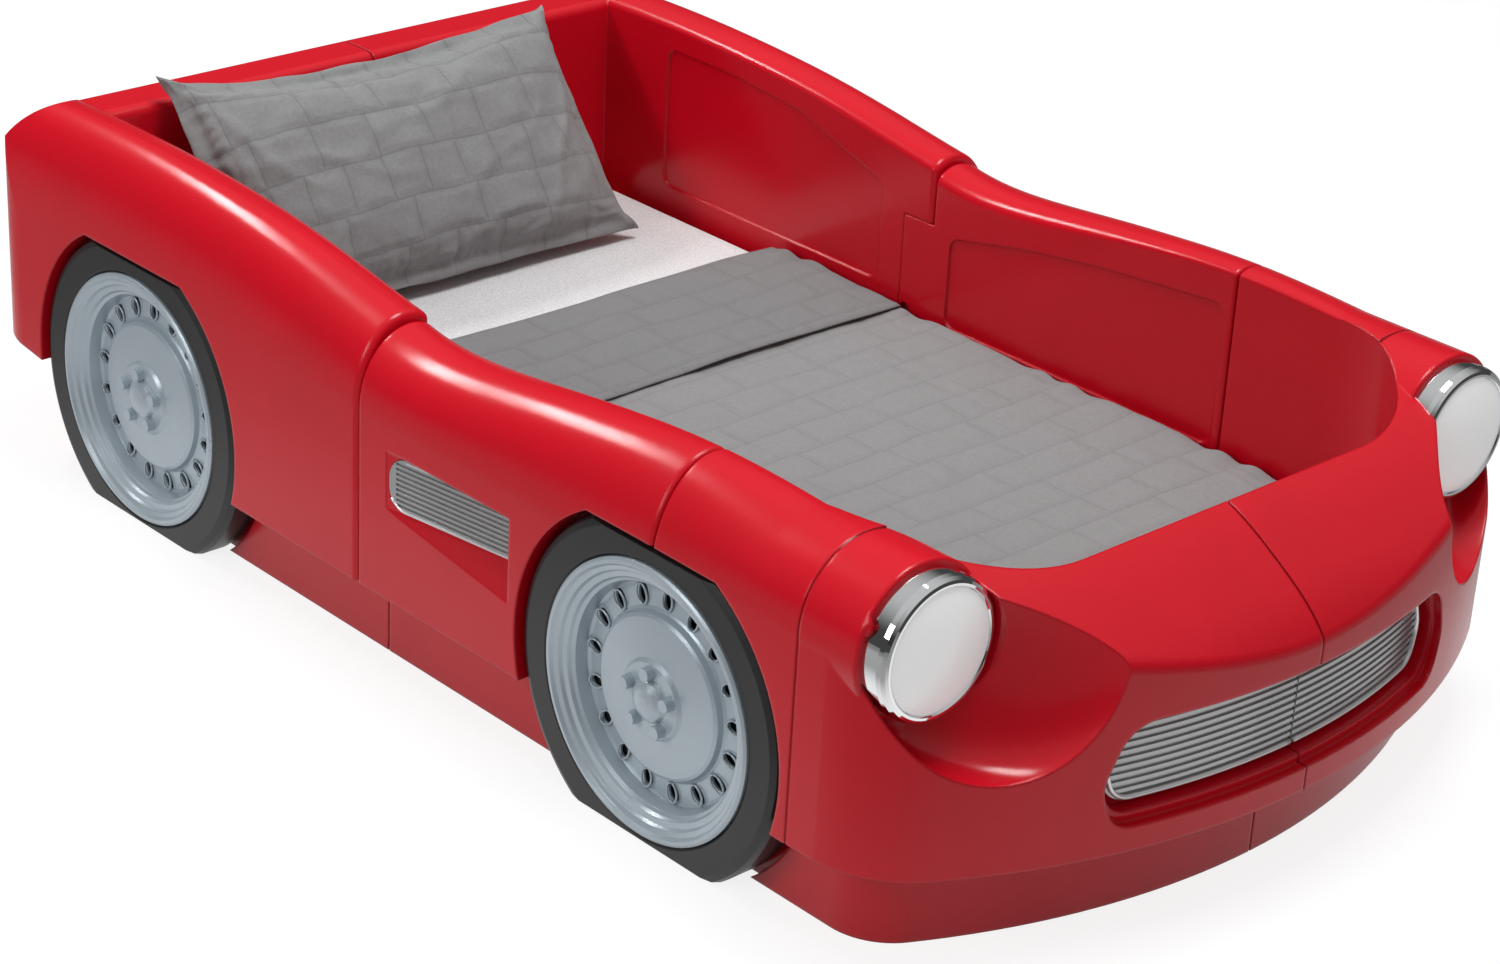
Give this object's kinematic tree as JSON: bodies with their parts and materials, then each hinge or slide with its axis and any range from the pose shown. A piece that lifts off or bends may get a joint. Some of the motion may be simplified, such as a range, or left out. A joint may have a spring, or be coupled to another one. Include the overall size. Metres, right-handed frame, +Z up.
{
  "type": "car bed for children",
  "caption": "Child's bed moulded as a vintage open sports car: mattress well behind a sloping hood, fixed wheels, push-on headlights, grille, slats and bedding.",
  "frame": {"origin": "on the floor at the centre of the footprint", "axes": "-Y towards the nose, +Y towards the tail, +Z up; right flank at -X"},
  "size_m": [1.306, 2.262, 0.6237],
  "materials": {
    "body_plastic": "satin gloss red, moulded in",
    "tyre_plastic": "satin black",
    "hubcap_plastic": "satin silver-blue",
    "chrome_ring": "mirror chrome",
    "frosted_lens": "frosted white",
    "white_plastic": "plain white",
    "circuit_board": "green laminate",
    "cell_jacket": "printed jacket left plain",
    "insert_plastic": "dark grey with a bright rim",
    "steel": "zinc plated",
    "slat_wood": "planed pine",
    "mattress_cover": "white ticking",
    "sheet_cloth": "light heather-grey cotton",
    "quilt_cloth": "grey cotton, box stitched",
    "pillow_cloth": "grey quilted sham"
  },
  "bodies": {
    "bed": {"front_right_panel": "body_plastic", "front_left_panel": "body_plastic", "right_door_panel": "body_plastic", "left_door_panel": "body_plastic", "rear_right_panel": "body_plastic", "rear_left_panel": "body_plastic", "lap_screws": "steel", "wheel_screws": "steel", "joining_plates": "steel", "plate_screws": "steel", "slat_screws": "steel", "mattress_slats": "slat_wood", "front_right_tyre": "tyre_plastic", "front_right_hubcap": "hubcap_plastic", "rear_right_tyre": "tyre_plastic", "rear_right_hubcap": "hubcap_plastic", "right_headlight_bezel": "chrome_ring", "right_lamp_housing": "white_plastic", "right_light_board": "circuit_board", "right_lamp_spring": "steel", "right_lamp_cells": "cell_jacket", "right_grille": "insert_plastic", "right_side_vent": "insert_plastic", "front_left_tyre": "tyre_plastic", "front_left_hubcap": "hubcap_plastic", "rear_left_tyre": "tyre_plastic", "rear_left_hubcap": "hubcap_plastic", "left_headlight_bezel": "chrome_ring", "left_lamp_housing": "white_plastic", "left_light_board": "circuit_board", "left_lamp_spring": "steel", "left_lamp_cells": "cell_jacket", "left_grille": "insert_plastic", "left_side_vent": "insert_plastic"},
    "right_light_button": {"right_headlight_lens": "frosted_lens", "right_lens_carrier": "white_plastic"},
    "left_light_button": {"left_headlight_lens": "frosted_lens", "left_lens_carrier": "white_plastic"},
    "mattress": {"mattress": "mattress_cover", "fitted_sheet": "sheet_cloth"},
    "quilt": {"quilt": "quilt_cloth"},
    "pillow": {"pillow": "pillow_cloth"}
  },
  "joints": [
    {"name": "right_headlight_push", "type": "slide", "parent": "bed", "child": "right_light_button", "axis": [0, 1, 0], "range_m": [0, 0.003], "stiffness_N_per_m": 1200, "springref_m": -0.0005, "deforming": ["right_lamp_spring"]},
    {"name": "left_headlight_push", "type": "slide", "parent": "bed", "child": "left_light_button", "axis": [0, 1, 0], "range_m": [0, 0.003], "stiffness_N_per_m": 1200, "springref_m": -0.0005, "deforming": ["left_lamp_spring"]},
    {"name": "mattress_lift", "type": "slide", "parent": "bed", "child": "mattress", "axis": [0, 0, 1], "range_m": [0, 0.055]},
    {"name": "quilt_lift", "type": "slide", "parent": "mattress", "child": "quilt", "axis": [0, 0, 1], "range_m": [0, 0.3]},
    {"name": "pillow_lift", "type": "slide", "parent": "mattress", "child": "pillow", "axis": [0, 0, 1], "range_m": [0, 0.3]}
  ]
}
